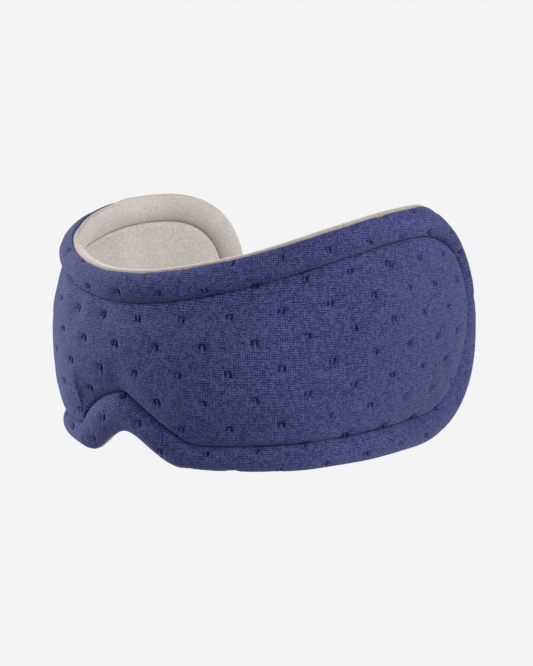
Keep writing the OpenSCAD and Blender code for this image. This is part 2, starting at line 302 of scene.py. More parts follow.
def from_edge(points):
    """Distance over the surface from the nearer of the first and the last row."""
    steps = np.linalg.norm(np.diff(points, axis=0), axis=-1)
    down = np.concatenate([np.zeros((1, points.shape[1])), np.cumsum(steps, axis=0)])
    return np.minimum(down, down[-1] - down)


def from_seam(points, seam_row):
    """Distance of each point from the nearer of its column's two seam points."""
    top, low = (np.linalg.norm(points - points[[row]], axis=-1) for row in (seam_row, -1 - seam_row))
    return np.minimum(top, low)


def bump(x, half):
    """1 inside +-half, falling smoothly to 0 outside."""
    return np.exp(-(x / half) ** 4)


def chance(number, row, seed):
    """Repeatable number from 0 to 1 for each tuck hole."""
    return np.modf(np.abs(np.sin(number * 12.9 + row * 78.2 + seed)) * 437.5)[0]


def tuck_holes(cloth):
    """How far the knit is drawn in round the tuck holes, and how deep in shade its yarn lies there.

    A hole is a long stroke and a short one, with a bar across their top or their foot, in a soft pucker.
    Its numbers are half widths and half heights in millimetres, and shares of the full depth."""
    u = cloth[..., 0]
    v = cloth[..., 1] - GRAIN_RISE * ease(np.abs(u) / LOBE_S)
    row = np.round((v - HOLE_Z) / HOLE_ROW)
    shift = np.where(row % 2 == 0, 0.5, 0)
    number = np.round((u - HOLE_S) / HOLE_PITCH - shift)
    lean, second, foot = (chance(number, row, seed) for seed in (0.0, 1.7, 4.1))
    du = u - HOLE_S - HOLE_PITCH * (number + shift)
    dv = v - HOLE_Z - HOLE_ROW * row
    du = du + (lean - 0.5) * 0.7 * dv
    long_stroke = bump(du, 0.52) * bump(dv, 1.35)
    short_stroke = (0.3 + 0.7 * second) * bump(du + 1.9, 0.46) * bump(dv - 0.2, 1.05)
    bar = (0.4 + 0.5 * foot) * bump(du + 0.9, 1.35) * bump(dv - np.where(foot > 0.4, 1.1, -1.05), 0.42)
    strokes = np.maximum(np.maximum(long_stroke, short_stroke), bar)
    pucker = np.exp(-((du + 0.8) / 3.2) ** 2 - (dv / 2.3) ** 2)
    fold = 0.1 * np.sin(1.9 * du) * np.exp(-(du / 4.5) ** 2 - (dv / 3.5) ** 2)
    strength = 0.8 + 0.3 * lean
    return strength * (0.75 * strokes + 0.45 * pucker) + fold, 1.25 * strength * strokes


def ripple(cloth):
    """Slight unevenness of hand-fed cloth over foam."""
    u, v = cloth[..., 0], cloth[..., 1]
    slow = np.sin(u / 9.1 + 1.3) * np.sin(v / 13.7 + 0.4) + 0.6 * np.sin(u / 5.3 - v / 7.9 + 2.1)
    return 0.12 * slow


# ---- Blowing the skins up ----
def resample(grid, at, axis):
    """Values of a grid at fractional places along one axis, by cubic interpolation."""
    grid = np.moveaxis(grid, axis, 0)
    first = np.clip(np.floor(at).astype(int), 0, len(grid) - 2)
    t = (at - first).reshape(-1, *[1] * (grid.ndim - 1))
    a, b, c, d = (grid[np.clip(first + k, 0, len(grid) - 1)] for k in (-1, 0, 1, 2))
    smooth = b + 0.5 * t * (c - a + t * (2 * a - 5 * b + 4 * c - d + t * (3 * (b - c) + d - a)))
    return np.moveaxis(smooth, 0, axis)


def row_places(roll, pad):
    """Where each row of a skin lies: 0 on the top edge, 2 on the spine, 4 on the bottom edge."""
    top = np.concatenate([roll, 1 + pad])
    return np.concatenate([top, 4 - top[-2::-1]])


def puff_move(puff, c, face, roll, pad):
    """The coarse cloth's moves at the places of a finer grid. The strap presses the right end flat."""
    coarse_c, coarse_rows, moves = puff
    rows = np.interp(row_places(roll, pad), coarse_rows, np.arange(len(coarse_rows)))
    columns = np.interp(c, coarse_c, np.arange(len(coarse_c)))
    under_strap = ease((-c - STRAP_PRESS_S) / STRAP_PRESS_W)
    return resample(resample(moves[face], rows, 0), columns, 1) * (1 - under_strap)[:, None]


def grid_quads(ids):
    """Quads between the neighbours of a grid of point numbers, in rows and columns."""
    return np.stack([ids[:-1, :-1], ids[:-1, 1:], ids[1:, 1:], ids[1:, :-1]], -1)


def blown_up(points, faces, held):
    """Where Blender's cloth takes the points of a closed mesh under pressure. The held ones stay."""
    mesh = bpy.data.meshes.new("puff")
    mesh.from_pydata((points * MM).tolist(), [], faces)
    pillow = bpy.data.objects.new("puff", mesh)
    scene = bpy.context.scene
    scene.collection.objects.link(pillow)
    pillow.vertex_groups.new(name="held").add(held, 1.0, "REPLACE")
    cloth = pillow.modifiers.new("cloth", "CLOTH")
    cloth.settings.vertex_group_mass = "held"
    cloth.settings.use_pressure = True
    cloth.settings.uniform_pressure_force = PUFF_PRESSURE
    cloth.settings.shrink_min = -PUFF_EASE
    cloth.settings.effector_weights.gravity = 0
    cloth.settings.quality = 6
    cloth.collision_settings.use_collision = False
    cloth.point_cache.frame_end = PUFF_FRAMES
    for number in range(1, PUFF_FRAMES + 1):
        scene.frame_set(number)
    result = pillow.evaluated_get(bpy.context.evaluated_depsgraph_get()).data
    flat = np.empty(points.size)
    result.vertices.foreach_get("co", flat)
    scene.frame_set(1)
    bpy.data.objects.remove(pillow)
    bpy.data.meshes.remove(mesh)
    return flat.reshape(-1, 3) / MM


def puffed(c, roll, pad):
    """How far the cloth simulation moves a coarse grid of both skins, sewn together like a cushion.

    The rolled rim is held as far as the quilting seam. Inside it the skins start a little deeper than they
    are drawn, and they are cut slightly too large, so that they settle unevenly."""
    start, drawn, rim = [], {}, len(roll) + 1
    for face in (1, -1):
        drawn[face], normals = skin(c, face, roll, pad)[:2]
        inset = PUFF_START * ease(from_seam(drawn[face], len(roll)) / PUFF_FADE)
        inset[:rim], inset[-rim:] = 0, 0
        start.append(drawn[face] - normals * inset[..., None])
    rows, columns = start[0].shape[:2]
    ids = np.arange(rows * columns).reshape(rows, columns)
    for end in (0, -1):
        ids[rows // 2 + 1:, end] = ids[:rows // 2, end][::-1]
    under = ids + rows * columns
    under[0], under[-1] = ids[0], ids[-1]
    faces = grid_quads(ids).reshape(-1, 4)[:, ::-1].tolist() + grid_quads(under).reshape(-1, 4).tolist()
    faces = [tuple(dict.fromkeys(f)) for f in faces]
    held = np.concatenate([np.unique([grid[:rim], grid[-rim:]]) for grid in (ids, under)])
    settled = blown_up(np.concatenate([g.reshape(-1, 3) for g in start]), faces, held.tolist())
    moves = {}
    for face, grid in ((1, ids), (-1, under)):
        move = settled[grid] - drawn[face]
        for _ in range(PUFF_SMOOTHING):
            move[1:-1] = (move[:-2] + 2 * move[1:-1] + move[2:]) / 4
            move[:, 1:-1] = (move[:, :-2] + 2 * move[:, 1:-1] + move[:, 2:]) / 4
        move[:rim], move[-rim:] = 0, 0
        size = np.linalg.norm(move, axis=-1, keepdims=True)
        moves[face] = move * np.minimum(1, PUFF_CAP / np.maximum(size, 1e-6))
    return c, row_places(roll, pad), moves


# ---- Meshes ----
def shell(rows, behind, columns):
    """Faces of a closed solid between a grid and one of fewer rows behind it, with the same columns.

    Both end round the tip, where the two halves of their last column are the same points."""
    def ids(count, offset):
        r, c = np.meshgrid(np.arange(count), np.arange(columns), indexing="ij")
        r = np.where(c == columns - 1, np.minimum(r, count - 1 - r), r)
        return r * columns + c + offset

    front, back = ids(rows, 0), ids(behind, rows * columns)
    faces, tips = [], []
    for grid, flip in ((front, False), (back, True)):
        quads = grid_quads(grid)
        tip = tip_triangles(quads[:, -1])
        quads = quads[:, :-1].reshape(-1, 4)
        faces.append(quads[:, ::-1] if flip else quads)
        tips += (tip[:, ::-1] if flip else tip).tolist()
    for f, b, flip in ((front[0], back[0], True), (front[-1], back[-1], False)):
        quads = np.stack([f[:-1], f[1:], b[1:], b[:-1]], -1)
        faces.append(quads[:, ::-1] if flip else quads)
    faces = np.concatenate(faces).tolist() + tips
    return [tuple(f) for f in faces] + cut_strip(front[:, 0], back[:, 0])


def tip_triangles(quads):
    """The last column's quads cut in two, so that the cuts beside the spine's end don't fall together."""
    half = len(quads) // 2
    top, low = quads[:half], quads[half:]
    return np.concatenate([top[:, [0, 1, 2]], top[:, [0, 2, 3]], low[:, [0, 1, 3]], low[:, [1, 2, 3]]])


def cut_strip(front, back):
    """Triangles that close the flat cut between a fine and a coarse column."""
    nearest = np.round(np.arange(len(front)) * (len(back) - 1) / (len(front) - 1)).astype(int)
    strip = []
    for i in range(len(front) - 1):
        a, b = nearest[i], nearest[i + 1]
        strip.append((front[i], front[i + 1], back[a]))
        if a != b:
            strip.append((front[i + 1], back[b], back[a]))
    return [tuple(int(k) for k in t) for t in strip]


def joined(front, back, order):
    """The front grid's points and then the back grid's as one list, in the given columns."""
    return np.concatenate([grid[:, order].reshape(-1, *grid.shape[2:]) for grid in (front, back)])


def ring_faces(rings, around, first=0):
    """Quads between rings with the same number of points around them."""
    starts = range(first, first + (rings - 1) * around, around)
    return [(a + k, a + (k + 1) % around, a + (k + 1) % around + around, a + k + around)
            for a in starts for k in range(around)]


def tube_faces(rings, around, first=0):
    """The same with both ends closed."""
    last = first + (rings - 1) * around
    ends = [tuple(range(first + around - 1, first - 1, -1)), tuple(range(last, last + around))]
    return ring_faces(rings, around, first) + ends


def tube_rings(route, radii, across, up, around):
    """Rings about the points of a route, each in the plane of its two directions across and up."""
    angles = np.radians(np.arange(around) * 360 / around)[None, :, None]
    ring = across[:, None] * np.cos(angles) + up[:, None] * np.sin(angles)
    return route[:, None] + radii[:, None, None] * ring


def new_object(name, points, faces, normals=None, uv=None, flip=False, material=None, shade=None):
    """Mesh object in the row frame from points in the band's own frame (mm), without unused points.

    shade says how deep each point lies in a tuck hole, a seam or a hem, where the cloth looks darker."""
    faces = [tuple(dict.fromkeys(f)) for f in faces]
    faces = [f[::-1] if flip else f for f in faces if len(f) > 2]
    used = np.unique(np.fromiter((k for f in faces for k in f), int))
    place = np.full(len(points), -1)
    place[used] = np.arange(len(used))
    mesh = bpy.data.meshes.new(name)
    moved = (points[used] + ROW_SHIFT) * MM
    mesh.from_pydata(moved.tolist(), [], [tuple(place[list(f)].tolist()) for f in faces])
    mesh.polygons.foreach_set("use_smooth", [True] * len(mesh.polygons))
    if uv is not None:
        corners = np.empty(len(mesh.loops), int)
        mesh.loops.foreach_get("vertex_index", corners)
        layer = mesh.uv_layers.new(name="cloth")
        layer.data.foreach_set("uv", (uv[used][corners] / CLOTH_MM).astype(np.float32).ravel())
    if shade is not None:
        layer = mesh.attributes.new("shade", "FLOAT", "POINT")
        layer.data.foreach_set("value", shade[used].astype(np.float32))
    if normals is not None:
        mesh.normals_split_custom_set_from_vertices(normals[used].tolist())
    if material is not None:
        mesh.materials.append(material)
    piece = bpy.data.objects.new(name, mesh)
    bpy.context.scene.collection.objects.link(piece)
    return piece


FRONT_Y = bend(np.array(0.0), 0, PAD_HALF - CORE_DEPTH)[1]


def hinge_blend(piece):
    """Bakes the piece's place into its mesh."""
    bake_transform(piece)


# ---- Strap route ----
def rounded_corner(a, corner, b, cut, steps=12):
    """Points round a corner of a route, from and to the places where it is cut off."""
    p = corner + unit(a - corner) * cut
    q = corner + unit(b - corner) * cut
    return [mix(mix(p, corner, t), mix(corner, q, t), t) for t in np.linspace(0, 1, steps)]


STRAP_Z = TIP_Z + 1
STRAP_OUT = np.array([0.0, 1.0])
GRIP_BULGE = float(barrel(TIP_S, mix(1, SEAM_BAND_W, 0.5)))
GRIP_DEPTH = GRIP_BULGE - CORE_DEPTH - GRIP_FOAM_HALF - SKIN_T - TAB_T - STRAP_T / 2


def plan(s, depth):
    return bend(np.array(float(s)), 0, depth)[:2]


strap_root = plan(TIP_S, float(barrel(TIP_S, 1)) - CORE_DEPTH) + STRAP_OUT * (STRAP_GAP + STRAP_T / 2)
strap_back = strap_root + STRAP_OUT * STRAP_REACH
strap_dip = plan(-(TIP_S - STRAP_DIP_IN), GRIP_DEPTH)
strap_end = plan(-(TIP_S - STRAP_END_IN), GRIP_DEPTH + STRAP_END_RISE)
ROW_SHIFT = np.array([0, cad_box[0][1] / MM - FRONT_Y, 0])


# ---- Materials ----
WALE = 0.85  # pitch of the knit's columns and courses, in mm
COURSE = 0.84
RIBS = 11  # of the woven strap
RIB_DEPTH = 0.28  # share of its thickness that lies in the ribs
PICK = 1.4  # pitch of the picks that cross them
PICK_DEPTH = 0.05
YARN_DARK = (0.006, 0.007, 0.037)
YARN_LIGHT = (0.060, 0.066, 0.194)


def node_tree(name):
    material = bpy.data.materials.new(name)
    material.use_nodes = True
    tree = material.node_tree
    return material, tree, tree.nodes["Principled BSDF"]


def connect(tree, node, inputs):
    """Links the inputs that are sockets, and sets the constants directly."""
    for key, value in inputs.items():
        if isinstance(value, bpy.types.NodeSocket):
            tree.links.new(value, node.inputs[key])
        else:
            node.inputs[key].default_value = value


def add(tree, kind, inputs=None, **settings):
    node = tree.nodes.new(kind)
    for key, value in settings.items():
        setattr(node, key, value)
    connect(tree, node, inputs or {})
    return node


def math_node(tree, operation, a, b=0.0, c=0.0):
    return add(tree, "ShaderNodeMath", {0: a, 1: b, 2: c}, operation=operation).outputs[0]


def scaled(tree, value, factor, offset=0.0):
    """value * factor + offset."""
    return math_node(tree, "MULTIPLY_ADD", value, factor, offset)


def sine(tree, turns):
    return math_node(tree, "SINE", scaled(tree, turns, 2 * np.pi))


def noise(tree, place, scale, detail, roughness=0.5):
    inputs = {"Vector": place, "Scale": scale, "Detail": detail, "Roughness": roughness}
    return add(tree, "ShaderNodeTexNoise", inputs).outputs[0]


def ramp(tree, value, low, high, at=(0.0, 1.0)):
    """Colour between low and high as value goes from at[0] to at[1]."""
    node = add(tree, "ShaderNodeValToRGB", {0: value})
    node.color_ramp.elements[0].position, node.color_ramp.elements[1].position = at
    node.color_ramp.elements[0].color = (*low, 1)
    node.color_ramp.elements[1].color = (*high, 1)
    return node.outputs[0]


def multiplied(tree, a, b, share=1.0):
    """Colour a, multiplied by colour b to the given share."""
    node = add(tree, "ShaderNodeMix", {0: share, 6: a, 7: b}, data_type="RGBA", blend_type="MULTIPLY")
    return node.outputs[2]


def relief(tree, height, strength, distance):
    """Bumps of the given height, where 1 stands for distance in metres."""
    inputs = {"Height": height, "Strength": strength, "Distance": distance}
    return add(tree, "ShaderNodeBump", inputs).outputs[0]


def cloth_places(tree):
    """The cloth's UV map, and how deep in shade each place of it lies."""
    uv = add(tree, "ShaderNodeUVMap", uv_map="cloth").outputs[0]
    return uv, add(tree, "ShaderNodeAttribute", attribute_name="shade").outputs["Fac"]


def knit_material():
    """Fine jersey of heathered yarn: columns of V stitches, each stitch of its own tone."""
    material, tree, shader = node_tree("indigo_knit")
    uv, shade = cloth_places(tree)
    cell = add(tree, "ShaderNodeSeparateXYZ", {0: uv})
    wander, shake = noise(tree, uv, 3.0, 2.0), noise(tree, uv, 45.0, 2.0)
    sway = scaled(tree, wander, 2.5, scaled(tree, shake, 1.6))
    wale = scaled(tree, cell.outputs[0], CLOTH_MM / WALE, sway)
    across = math_node(tree, "ABSOLUTE", math_node(tree, "SUBTRACT", math_node(tree, "FRACT", wale), 0.5))
    slant = scaled(tree, across, 0.5, scaled(tree, shake, 1.5))
    course = scaled(tree, cell.outputs[1], CLOTH_MM / COURSE, slant)
    loops = scaled(tree, sine(tree, course), 0.5, 0.5)
    groove = math_node(tree, "SMOOTH_MIN", scaled(tree, across, -1.25, 1.1), 1.0, 0.2)
    height = math_node(tree, "MULTIPLY", scaled(tree, loops, 0.6, 0.4), groove)
    stitch = add(tree, "ShaderNodeCombineXYZ",
                 {0: math_node(tree, "FLOOR", wale), 1: math_node(tree, "FLOOR", course)}).outputs[0]
    own = add(tree, "ShaderNodeTexWhiteNoise", {"Vector": stitch}, noise_dimensions="2D").outputs["Value"]
    fleck = noise(tree, uv, 240.0, 3.0, 0.7)
    speckled = scaled(tree, fleck, 1.1, math_node(tree, "SUBTRACT", height, 0.79))
    lit = scaled(tree, own, 0.4, speckled)
    yarn = ramp(tree, lit, YARN_DARK, YARN_LIGHT, (0.2, 0.85))
    wear = ramp(tree, noise(tree, uv, 1.6, 3.0), (0.86, 0.86, 0.88), (1.14, 1.14, 1.12), (0.3, 0.7))
    shadow = ramp(tree, shade, (1, 1, 1), (0.2, 0.17, 0.4), (0.25, 0.9))
    connect(tree, shader, {
        "Base Color": multiplied(tree, multiplied(tree, yarn, wear), shadow),
        "Normal": relief(tree, lit, 0.7, 0.0003),
        "Roughness": scaled(tree, fleck, 0.2, 0.78),
        "Sheen Weight": 0.18,
        "Sheen Roughness": 0.4,
        "Sheen Tint": (0.45, 0.55, 0.95, 1),
        "Specular IOR Level": 0.15,
    })
    return material


def suede_material():
    """Brushed suede: a short nap that lies in soft patches, pinkish and greenish."""
    material, tree, shader = node_tree("greige_suede")
    uv, shade = cloth_places(tree)
    patch, hue = noise(tree, uv, 3.5, 4.0, 0.6), noise(tree, uv, 14.0, 4.0, 0.7)
    nap = noise(tree, uv, 70.0, 5.0, 0.75)
    base = ramp(tree, hue, (0.350, 0.340, 0.310), (0.385, 0.330, 0.315), (0.35, 0.65))
    soft = ramp(tree, patch, (0.88, 0.88, 0.88), (1.08, 1.08, 1.08), (0.3, 0.7))
    grain = ramp(tree, nap, (0.72, 0.72, 0.72), (1.22, 1.22, 1.22), (0.28, 0.72))
    shadow = ramp(tree, shade, (1, 1, 1), (0.5, 0.46, 0.42), (0.1, 0.95))
    connect(tree, shader, {
        "Base Color": multiplied(tree, multiplied(tree, multiplied(tree, base, soft), grain), shadow),
        "Normal": relief(tree, nap, 0.5, 0.0003),
        "Roughness": scaled(tree, nap, 0.15, 0.85),
        "Sheen Weight": 0.3,
        "Sheen Roughness": 0.5,
        "Sheen Tint": (1.0, 0.95, 0.9, 1),
        "Specular IOR Level": 0.1,
    })
    return material


def thread_material(name, dark, light):
    """Spun sewing thread with a fine twist."""
    material, tree, shader = node_tree(name)
    place = add(tree, "ShaderNodeTexCoord").outputs["Object"]
    twist = add(tree, "ShaderNodeTexWave", {"Vector": place, "Scale": 900.0, "Distortion": 1.5},
                bands_direction="DIAGONAL").outputs["Fac"]
    fuzz = noise(tree, place, 2500.0, 2.0)
    fuzzy = ramp(tree, fuzz, (0.7, 0.7, 0.7), (1.2, 1.2, 1.2))
    connect(tree, shader, {
        "Base Color": multiplied(tree, ramp(tree, twist, dark, light), fuzzy, 0.5),
        "Normal": relief(tree, twist, 0.5, 0.0001),
        "Roughness": scaled(tree, fuzz, 0.2, 0.6),
        "Sheen Weight": 0.05,
        "Specular IOR Level": 0.1,
    })
    return material


def elastic_material():
    """Woven elastic: raised ribs along it, crossed by picks that are half a step apart from rib to rib."""
    material, tree, shader = node_tree("indigo_elastic")
    uv = add(tree, "ShaderNodeUVMap", uv_map="cloth").outputs[0]
    place = add(tree, "ShaderNodeSeparateXYZ", {0: uv})
    rib = scaled(tree, place.outputs[1], CLOTH_MM * RIBS / STRAP_W)
    crown = math_node(tree, "ABSOLUTE", math_node(tree, "COSINE", scaled(tree, rib, np.pi)))
    offset = scaled(tree, math_node(tree, "ROUND", rib), 0.5)
    pick = scaled(tree, place.outputs[0], CLOTH_MM / PICK, offset)
    weave = math_node(tree, "MULTIPLY", crown, scaled(tree, sine(tree, pick), 0.3, 0.7))
    fuzz = noise(tree, uv, 300.0, 3.0)
    lit = scaled(tree, fuzz, 0.5, scaled(tree, weave, 0.7, -0.15))
    connect(tree, shader, {
        "Base Color": ramp(tree, lit, (0.010, 0.012, 0.050), (0.072, 0.080, 0.215), (0.1, 0.8)),
        "Normal": relief(tree, weave, 0.7, 0.0004),
        "Roughness": scaled(tree, fuzz, 0.2, 0.55),
        "Sheen Weight": 0.15,
        "Specular IOR Level": 0.25,
    })
    return material


def foam_material():
    """Open-cell foam."""
    material, tree, shader = node_tree("cream_foam")
    place = add(tree, "ShaderNodeTexCoord").outputs["Object"]
    voronoi = add(tree, "ShaderNodeTexVoronoi", {"Vector": place, "Scale": 1400.0}, feature="SMOOTH_F1")
    cells = voronoi.outputs["Distance"]
    connect(tree, shader, {
        "Base Color": ramp(tree, cells, (0.85, 0.82, 0.72), (0.55, 0.52, 0.42)),
        "Normal": relief(tree, cells, 0.6, 0.0003),
        "Roughness": 0.95,
    })
    return material


def nylon_material():
    """Moulded nylon of the hook tape."""
    material, tree, shader = node_tree("hook_nylon")
    place = add(tree, "ShaderNodeTexCoord").outputs["Object"]
    mottle = noise(tree, place, 1500.0, 2.0)
    connect(tree, shader, {
        "Base Color": ramp(tree, mottle, (0.05, 0.055, 0.11), (0.1, 0.11, 0.2), (0.35, 0.65)),
        "Normal": relief(tree, mottle, 0.3, 0.0001),
        "Roughness": scaled(tree, mottle, 0.2, 0.35),
    })
    return material


# ---- Pieces ----
def column_places(step, fine_step=None):
    """Signed columns of the whole band, closer together across the tuck holes."""
    flat = np.linspace(-LOBE_S, LOBE_S, 2 * round(LOBE_S / step) + 1)
    if fine_step:
        middles = HOLE_S + HOLE_PITCH / 2 * np.arange(-16, 16) + HOLE_MIDDLE
        apart = np.abs(flat[:, None] - middles).min(1) > HOLE_HALF
        fine = (middles[:, None] + np.arange(-HOLE_HALF, HOLE_HALF + 0.01, fine_step)).ravel()
        fine = fine[np.abs(fine) < LOBE_S]
        flat = np.unique(np.round(np.concatenate([flat[apart], fine, [0, -LOBE_S, LOBE_S]]), 3))
    lobe = LOBE_S + np.linspace(0, 90, round(90 / step * 1.6) + 1)[1:]
    return np.concatenate([-lobe[::-1], flat, lobe])


def both_ends(t):
    """Places from 0 to 1, closer together near both ends."""
    return mix(t, (1 - np.cos(np.pi * t)) / 2, 0.7)


def halves(c):
    """Column indices of the wearer's left half and right half, each from the nose to the tip."""
    middle = int(np.argmin(np.abs(c)))
    return (("left", 1, np.arange(middle, len(c))), ("right", -1, np.arange(middle, -1, -1)))


def back_rows(rows, seam_row, stride):
    """Rows of the coarser grid behind a skin: a few evenly spaced, and those about the seam."""
    half = rows // 2
    kept = {0, half, seam_row, *range(0, half, stride), seam_row - 3, seam_row + 4}
    return np.array(sorted(kept | {rows - 1 - r for r in kept}))


def skin_thickness(seam_distance):
    return mix(SEAM_SKIN_T, SKIN_T, ease(seam_distance / SEAM_PRESS_W))


def make_skin(name, node, face, c, roll, pad, puff, material):
    """Both halves of the cover or the lining, each a closed sheet with its hem turned in."""
    points, normals, cloth = skin(c, face, roll, pad, puff)
    seam_distance = from_seam(points, len(roll))
    edge_distance = from_edge(points)
    hem = np.exp(-(edge_distance / EDGE_TUCK_W) ** 2)
    # Painted shade: along the lining's turned edge, and in the cover's tuck holes; the seam's and the
    # hem's follow.
    hole, shade = (0, TURNED_PAINTED_SHADE * bump(edge_distance, TURNED_W)) if face < 0 else tuck_holes(cloth)
    carved = points - normals * (EDGE_TUCK * hem + hole + ripple(cloth))[..., None]
    shade = np.maximum(shade, np.exp(-(seam_distance / SEAM_DARK_W) ** 2))
    shade = np.maximum(shade, HEM_DARK * hem)
    fine_normals = outward_normals(carved, face)
    kept = back_rows(len(points), len(roll), 8)
    backs = (points - normals * skin_thickness(seam_distance)[..., None])[kept]
    for half, side, order in halves(c):
        faces = shell(len(carved), len(kept), len(order))
        piece = new_object(f"{name}_{half}", joined(carved, backs, order), faces,
                           normals=joined(fine_normals, -normals[kept], order),
                           uv=joined(cloth, cloth[kept], order), flip=face * side > 0, material=material,
                           shade=joined(shade, 0 * shade[kept], order))
        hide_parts(f"centre_{node}", f"{half}_{node}")
        hinge_blend(piece)


def make_foam(puff, material):
    """Foam of both halves, between the skins."""
    c = column_places(4.0)
    roll, pad = np.linspace(0, 1, 9)[:-1], np.linspace(0, 1, 9)
    grids = []
    for face in (1, -1):
        points, normals = skin(c, face, roll, pad, puff)[:2]
        inset = skin_thickness(from_seam(points, len(roll))) + FOAM_PLAY
        grids.append(points - normals * inset[..., None])
    rows = len(grids[0])
    for half, side, order in halves(c):
        piece = new_object(f"foam_{half}", joined(*grids, order), shell(rows, rows, len(order)),
                           flip=side > 0, material=material)
        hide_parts(*(f"{part}_{node}" for part in ("centre", half) for node in ("pad", "rim")))
        hinge_blend(piece)


def seam_line(face, side_sign, row_phi, lift):
    """Dense points and normals of a line of stitches on one half, from the top over the tip to the bottom.

    It follows the quilting seam, or the place row_phi degrees round the rim's roll. It is the second row
    of a narrow skin, whose first and third row give the normals."""
    c = np.concatenate([np.linspace(0.5, LOBE_S, 560), LOBE_S + np.linspace(0, 90, 360)[1:]])
    lines = []
    for side in (1, -1):
        if row_phi is None:
            roll, pad = np.array([0.98, 1.0]), np.array([0.01])
        else:
            start = wrap_angle(c * side_sign, side)
            share = ((row_phi - start) / (face * ROLL_END - start)).mean()
            roll, pad = np.array([share - 0.01, share, share + 0.01]), np.array([0.0])
        points = half_skin(c * side_sign, side, face, roll, pad)[0]
        along = np.gradient(points, axis=1)[1]
        over = points[2] - points[0]
        normal = unit(np.cross(along, over))
        heading = pose_at(np.minimum(c, TIP_S))[2]
        out = np.stack([side_sign * np.sin(heading), -np.cos(heading), 0 * heading], -1) * face
        normal *= np.sign((normal * out).sum(-1))[:, None]
        lines.append((points[1] + normal * lift, normal))
    (top, top_n), (low, low_n) = lines
    return np.concatenate([top, low[-2::-1]]), np.concatenate([top_n, low_n[-2::-1]])


def distances(line):
    """Distance of each point of a line from its start, along the line."""
    return np.concatenate([[0], np.cumsum(np.linalg.norm(np.diff(line, axis=0), axis=-1))])


def stitches(line, normals, length, spacing, radius, sink):
    """Short rounded tubes along a line, whose ends dip into the cloth."""
    distance = distances(line)
    t = np.linspace(0, 1, STITCH_RINGS)
    swell = np.sqrt(np.clip(1 - (2 * t - 1) ** 4, 0.03, 1))
    points, faces = [], []
    for i in range(int(distance[-1] // spacing)):
        at = (i + 0.5) * spacing - length / 2 + t * length
        centre = np.stack([np.interp(at, distance, line[:, k]) for k in range(3)], -1)
        up = np.stack([np.interp(at, distance, normals[:, k]) for k in range(3)], -1)
        centre = centre - up * (sink * (2 * t - 1) ** 2)[:, None]
        level = unit(np.cross(unit(np.gradient(centre, axis=0)), up))
        points.append(tube_rings(centre, radius * swell, level, up, STITCH_SIDES).reshape(-1, 3))
        faces += tube_faces(STITCH_RINGS, STITCH_SIDES, i * STITCH_RINGS * STITCH_SIDES)
    return np.concatenate(points), faces


def make_threads(navy, beige, suede_thread):
    """Quilting stitches in both creases, and the row that holds the lining's hem.

    A row has its face, place on the roll and lift, and its stitches' length, spacing and radius."""
    rows = (
        ("quilting_outer", 1, None, 0.25, 3.0, 3.7, 0.3, "quilting", navy),
        ("quilting_inner", -1, None, 0.25, 3.0, 3.7, 0.3, "quilting", beige),
        ("hem_stitches", -1, -34, 0.0, 2.0, 2.8, 0.2, "edge_stitching", suede_thread),
    )
    for name, face, phi, lift, length, spacing, radius, node, material in rows:
        for half, side in (("left", 1), ("right", -1)):
            line, normals = seam_line(face, side, phi, lift)
            points, faces = stitches(line, normals, length, spacing, radius, sink=0.35)
            piece = new_object(f"{name}_{half}", points, faces, flip=True, material=material)
            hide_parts(f"centre_{node}", f"{half}_{node}")
            hinge_blend(piece)


def strap_line():
    """Dense plan route of the strap, from inside the left end's edge to its free end."""
    heading = pose_at(np.array(float(TIP_S)))[2]
    inside = strap_root - np.array([np.cos(heading), np.sin(heading)]) * STRAP_SEWN_IN
    corners = [inside, strap_root]
    corners += rounded_corner(strap_root, strap_back, strap_dip, cut=5)
    corners += rounded_corner(strap_back, strap_dip, strap_end, cut=7)
    corners.append(strap_end)
    corners = np.array(corners)
    distance = distances(corners)
    at = np.linspace(0, distance[-1], int(distance[-1] / (PICK / 2)))
    return np.stack([np.interp(at, distance, corners[:, k]) for k in range(2)], -1), at


def make_strap(material):
    """Woven elastic: lengthwise ribs and crosswise picks, sewn in at the left end."""
    line, at = strap_line()
    along = unit(np.gradient(line, axis=0))
    across = np.stack([-along[:, 1], along[:, 0]], -1)
    w = np.linspace(-1, 1, RIBS * 8 + 1)
    ribs = mix(1 - RIB_DEPTH, 1, np.abs(np.cos(np.pi * RIBS * w / 2)))
    profile = (1 - w ** 24) ** 0.5 * ribs
    face_w = np.concatenate([w, w[-2:0:-1]])
    face_t = np.concatenate([profile, -profile[-2:0:-1]]) * STRAP_T / 2
    picks = 1 + PICK_DEPTH * np.sin(2 * np.pi * at / PICK)
    points = np.empty((len(line), len(face_w), 3))
    points[..., :2] = line[:, None] + across[:, None] * (face_t * picks[:, None])[..., None]
    points[..., 2] = STRAP_Z + face_w * STRAP_W / 2
    faces = tube_faces(*points.shape[:2])
    uv = np.stack(np.broadcast_arrays(at[:, None], face_w * STRAP_W / 2), -1).reshape(-1, 2)
    piece = new_object("woven_strap", points.reshape(-1, 3), faces, uv=uv, material=material)
    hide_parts("strap")
    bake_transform(piece)


def tab_axes():
    """Origin and axes of the strap's free end: x back along the strap, y towards the lining, z up."""
    dx, dy = unit(strap_end - strap_dip)
    x = np.array([-dx, -dy, 0])
    y = np.array([dy, -dx, 0])
    return np.array([*strap_end, STRAP_Z]), x, y, np.array([0, 0, 1.0])


def on_tab(places):
    origin, x, y, z = tab_axes()
    return origin + places[:, :1] * x + places[:, 1:2] * y + places[:, 2:] * z


